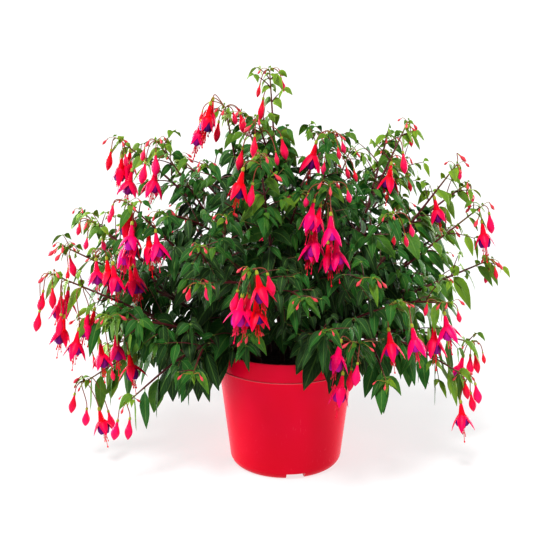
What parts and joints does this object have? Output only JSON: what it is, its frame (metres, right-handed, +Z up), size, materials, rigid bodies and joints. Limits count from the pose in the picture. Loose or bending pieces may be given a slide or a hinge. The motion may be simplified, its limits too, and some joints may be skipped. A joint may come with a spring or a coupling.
{
  "type": "potted fuchsia plant",
  "caption": "Bushy flowering fuchsia in a round plastic nursery pot, with arching leafy stems and hanging red and purple flowers.",
  "frame": {"origin": "middle of the pot's flat base, on the surface that it stands on", "axes": "+Z up, -Y towards the viewer in the picture, +X to the viewer's right"},
  "size_m": [0.4853, 0.4244, 0.4272],
  "materials": {
    "pot_plastic": "satin red moulded plastic",
    "soil": "dark crumbly potting soil",
    "stem_leaf": "green leaves on reddish brown stems",
    "flower_red": "waxy crimson sepals, tubes and buds",
    "corolla_purple": "soft purple petals"
  },
  "bodies": {
    "root": {"corolla_front_left_1": "corolla_purple", "corolla_high_left_1": "corolla_purple", "corolla_high_right_1": "corolla_purple", "corolla_low_left_1": "corolla_purple", "corolla_middle_1": "corolla_purple", "corolla_middle_2": "corolla_purple", "corolla_near_right_1": "corolla_purple", "corolla_near_right_2": "corolla_purple", "corolla_skirt_right_1": "corolla_purple", "flowers_back": "flower_red", "flowers_back_high": "flower_red", "flowers_back_left": "flower_red", "flowers_back_right": "flower_red", "flowers_crown_left": "flower_red", "flowers_edge_right": "flower_red", "flowers_far_left": "flower_red", "flowers_front": "flower_red", "flowers_front_left": "flower_red", "flowers_front_small": "flower_red", "flowers_high_left": "flower_red", "flowers_high_right": "flower_red", "flowers_left": "flower_red", "flowers_left_inner": "flower_red", "flowers_left_near": "flower_red", "flowers_left_upper": "flower_red", "flowers_low_left": "flower_red", "flowers_low_left_inner": "flower_red", "flowers_middle": "flower_red", "flowers_near_right": "flower_red", "flowers_near_right_small": "flower_red", "flowers_over_pot": "flower_red", "flowers_right": "flower_red", "flowers_right_inner": "flower_red", "flowers_right_low": "flower_red", "flowers_right_near": "flower_red", "flowers_right_small": "flower_red", "flowers_skirt_left": "flower_red", "flowers_skirt_near": "flower_red", "flowers_skirt_right": "flower_red", "flowers_top": "flower_red", "flowers_top_near": "flower_red", "flowers_top_right": "flower_red", "pot": "pot_plastic", "soil": "soil", "stem_back_left": "stem_leaf", "stem_back_right": "stem_leaf", "stem_crown_left": "stem_leaf", "stem_front": "stem_leaf", "stem_front_low": "stem_leaf", "stem_high_right": "stem_leaf", "stem_left": "stem_leaf", "stem_left_near": "stem_leaf", "stem_low_left": "stem_leaf", "stem_right": "stem_leaf", "stem_right_low": "stem_leaf", "stem_skirt_left": "stem_leaf", "stem_skirt_near": "stem_leaf", "stem_skirt_right": "stem_leaf", "stem_top": "stem_leaf", "stem_top_right": "stem_leaf"}
  },
  "joints": []
}
